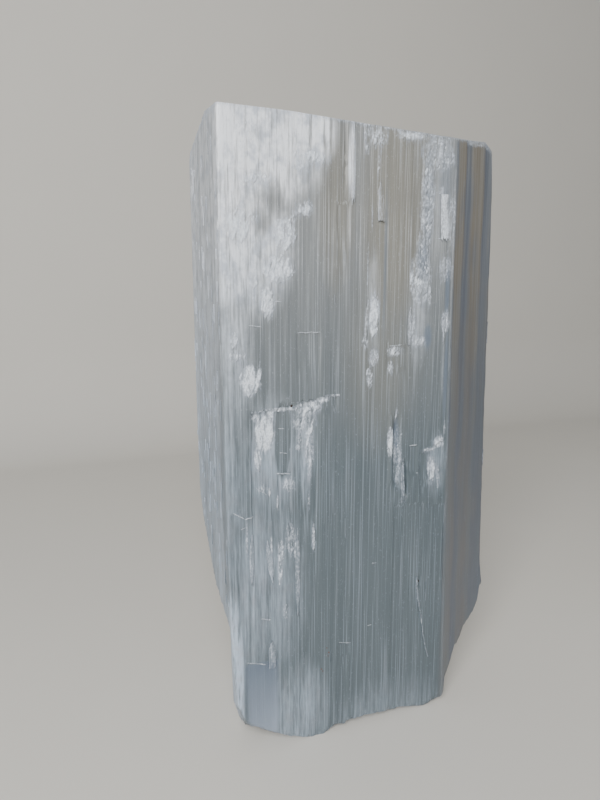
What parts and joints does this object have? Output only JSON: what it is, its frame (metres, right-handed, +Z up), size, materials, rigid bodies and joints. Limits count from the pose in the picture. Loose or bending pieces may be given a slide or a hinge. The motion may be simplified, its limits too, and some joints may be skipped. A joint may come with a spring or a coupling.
{
  "type": "raw selenite crystal block",
  "caption": "Raw upright block of fibrous selenite: a split log of satin spar with ribbed faces, a sawn top and a broken foot, standing free as a display specimen.",
  "frame": {"origin": "centre of the bounding box's bottom, on the surface that the block stands on", "axes": "+Z up along the fibres, +X to the right along the wide front face, +Y in from the front face, so that the front faces -Y"},
  "size_m": [0.129, 0.0746, 0.2554],
  "materials": {
    "crystal_blade": "satin"
  },
  "bodies": {
    "root": {"crystal_blade": "crystal_blade"}
  },
  "joints": []
}
